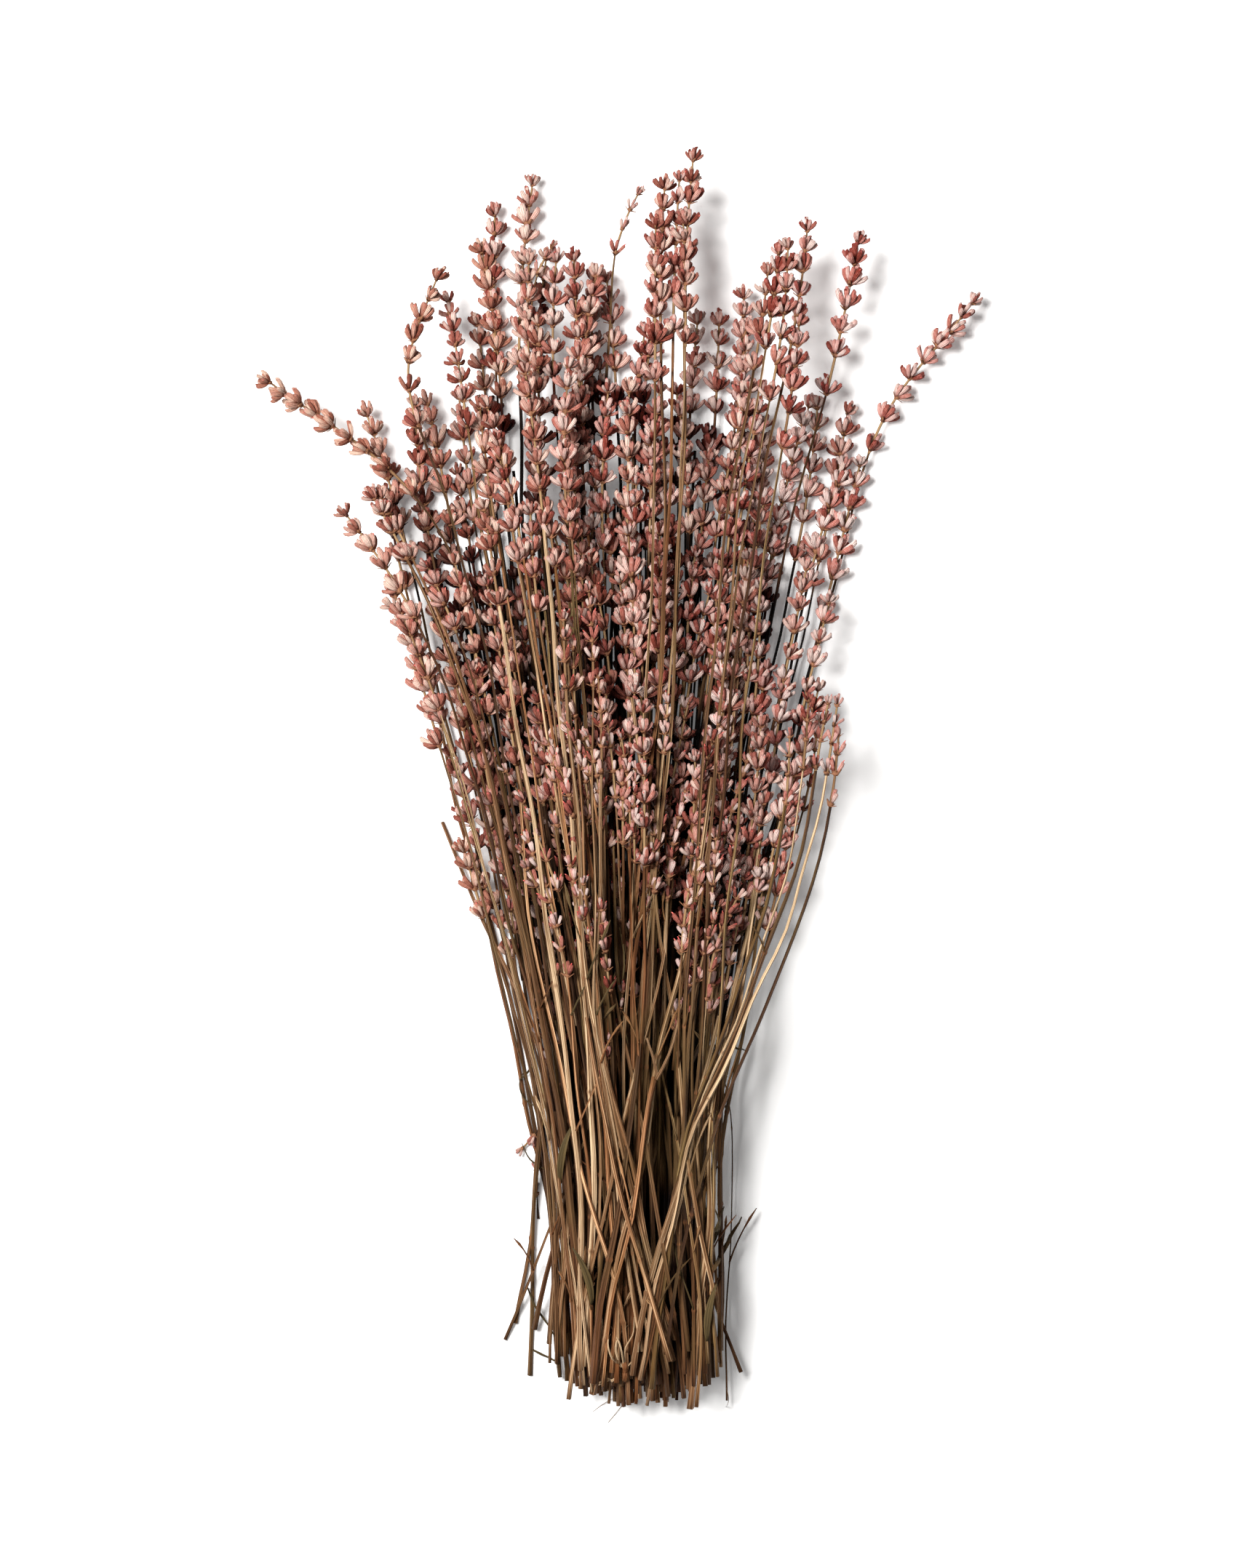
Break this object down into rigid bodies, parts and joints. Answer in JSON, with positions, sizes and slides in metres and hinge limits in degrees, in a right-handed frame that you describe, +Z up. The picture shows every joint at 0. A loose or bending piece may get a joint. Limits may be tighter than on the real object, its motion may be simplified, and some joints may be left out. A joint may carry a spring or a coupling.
{
  "type": "bunch of dried lavender",
  "caption": "Loose sheaf of dried lavender lying flat: thin ridged stems packed at the foot, fanning out to slim heads of whorled dusty pink calyces",
  "frame": {"origin": "centre of the bounding box's bottom face, on the surface that the bunch lies on", "axes": "+Y from the cut foot to the flower heads, +X to the right seen from above with the heads away, +Z up"},
  "size_m": [0.2786, 0.4772, 0.0497],
  "materials": {
    "stem": "dry straw-like plant stem, matt to slightly silky, lengthwise ridges",
    "flower": "dry papery calyx, matt, finely ribbed"
  },
  "bodies": {
    "root": {"stems_01": "stem", "flowers_01": "flower", "stems_02": "stem", "flowers_02": "flower", "stems_03": "stem", "flowers_03": "flower", "stems_04": "stem", "flowers_04": "flower", "stems_05": "stem", "flowers_05": "flower", "stems_06": "stem", "flowers_06": "flower", "stems_07": "stem", "flowers_07": "flower", "stems_08": "stem", "flowers_08": "flower", "stems_09": "stem", "flowers_09": "flower", "stems_10": "stem", "flowers_10": "flower", "stems_11": "stem", "flowers_11": "flower", "stems_12": "stem", "flowers_12": "flower", "stems_13": "stem", "flowers_13": "flower", "stems_14": "stem", "flowers_14": "flower", "stems_15": "stem", "flowers_15": "flower", "stems_16": "stem", "flowers_16": "flower", "stems_17": "stem", "flowers_17": "flower", "stems_18": "stem", "flowers_18": "flower", "stems_19": "stem", "flowers_19": "flower", "stems_20": "stem", "flowers_20": "flower", "stems_21": "stem", "flowers_21": "flower", "stems_22": "stem", "flowers_22": "flower", "stems_23": "stem", "flowers_23": "flower", "stems_24": "stem", "flowers_24": "flower", "stems_25": "stem", "flowers_25": "flower", "stems_26": "stem", "flowers_26": "flower", "stems_27": "stem", "flowers_27": "flower", "stems_28": "stem", "flowers_28": "flower", "stems_29": "stem", "flowers_29": "flower", "stems_30": "stem", "flowers_30": "flower"}
  },
  "joints": []
}
